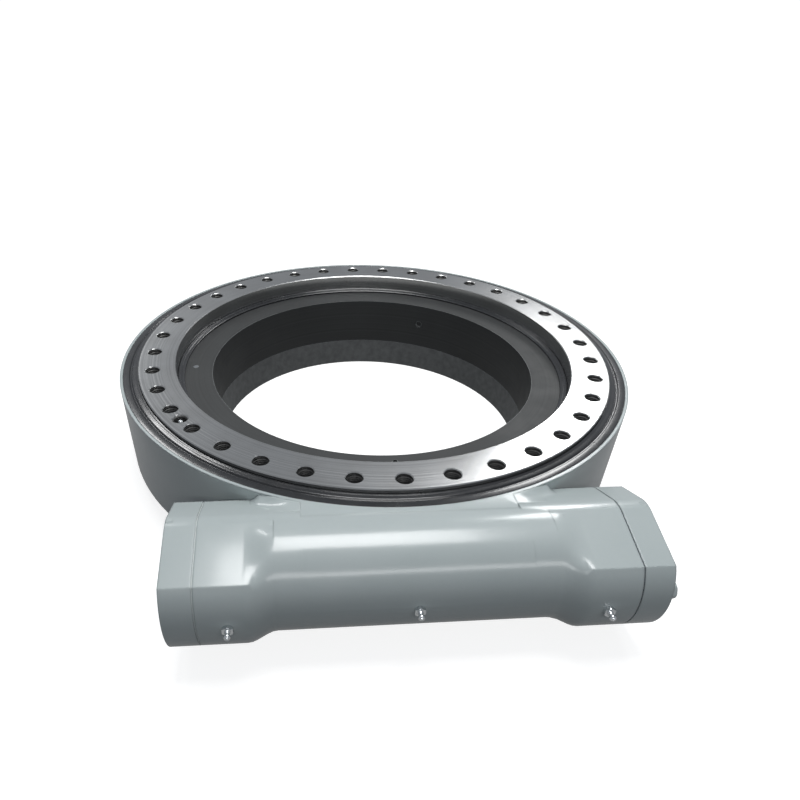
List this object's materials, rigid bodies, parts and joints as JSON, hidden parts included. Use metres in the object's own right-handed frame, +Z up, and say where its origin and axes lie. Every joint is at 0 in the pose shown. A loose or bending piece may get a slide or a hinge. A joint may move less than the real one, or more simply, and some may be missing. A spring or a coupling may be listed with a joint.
{
  "type": "slewing drive",
  "caption": "Enclosed slew drive: a round cast housing with a cross worm tunnel, a drilled rotating ring flush with its rim, and an open centre bore.",
  "frame": {"origin": "the rotating ring's axis, at the level of the mounting foot", "axes": "+Z up along the ring's axis, out of the rotating ring's drilled face; +X along the worm, away from the input flange; -Y from the ring's axis towards the worm"},
  "size_m": [0.656, 0.7595, 0.13],
  "materials": {
    "housing_paint": "semi-gloss",
    "dark_steel": "satin",
    "turned_steel": "turned",
    "bright_steel": "ground",
    "black_screw": "oxide",
    "seal_rubber": "satin",
    "gasket_paper": "matt",
    "spacer_nylon": "satin",
    "nipple_chrome": "gloss"
  },
  "bodies": {
    "housing": {"housing": "housing_paint", "input_flange": "housing_paint", "end_cover": "housing_paint", "end_cover_plug": "housing_paint", "fixed_ring": "dark_steel", "fixed_ring_screws": "black_screw", "bore_plug": "bright_steel", "locking_pin": "bright_steel", "outer_seal": "seal_rubber", "inner_seal": "seal_rubber", "lower_seal": "seal_rubber", "input_gasket": "gasket_paper", "end_cover_gasket": "gasket_paper", "input_shaft_seal": "seal_rubber", "preload_shim": "bright_steel", "input_flange_screws": "black_screw", "end_cover_screws": "black_screw", "input_bearing_cup": "bright_steel", "end_bearing_cup": "bright_steel", "grease_nipple_left": "nipple_chrome", "grease_nipple_middle": "nipple_chrome", "grease_nipple_right": "nipple_chrome"},
    "ring": {"gear_ring": "turned_steel", "ring_grease_nipple": "nipple_chrome"},
    "ball_row": {"balls": "bright_steel", "ball_spacers": "spacer_nylon"},
    "worm": {"worm": "bright_steel", "input_bearing_cone": "bright_steel", "end_bearing_cone": "bright_steel"},
    "worm_rollers": {"input_bearing_rollers": "bright_steel", "end_bearing_rollers": "bright_steel"}
  },
  "joints": [
    {"name": "ring_spin", "type": "hinge", "parent": "housing", "child": "ring", "pos_m": [0, 0, 0.13], "axis": [0, 0, 1], "continuous": true},
    {"name": "ball_orbit", "type": "hinge", "parent": "housing", "child": "ball_row", "pos_m": [0, 0, 0.074], "axis": [0, 0, 1], "continuous": true},
    {"name": "worm_spin", "type": "hinge", "parent": "housing", "child": "worm", "pos_m": [0, -0.352, 0.0725], "axis": [1, 0, 0], "continuous": true},
    {"name": "roller_orbit", "type": "hinge", "parent": "housing", "child": "worm_rollers", "pos_m": [0, -0.352, 0.0725], "axis": [1, 0, 0], "continuous": true}
  ],
  "couplings": [
    {"joint": "ball_orbit", "follows": "ring_spin", "ratio": 0.5},
    {"joint": "worm_spin", "follows": "ring_spin", "ratio": -125},
    {"joint": "roller_orbit", "follows": "ring_spin", "ratio": -52.5}
  ]
}
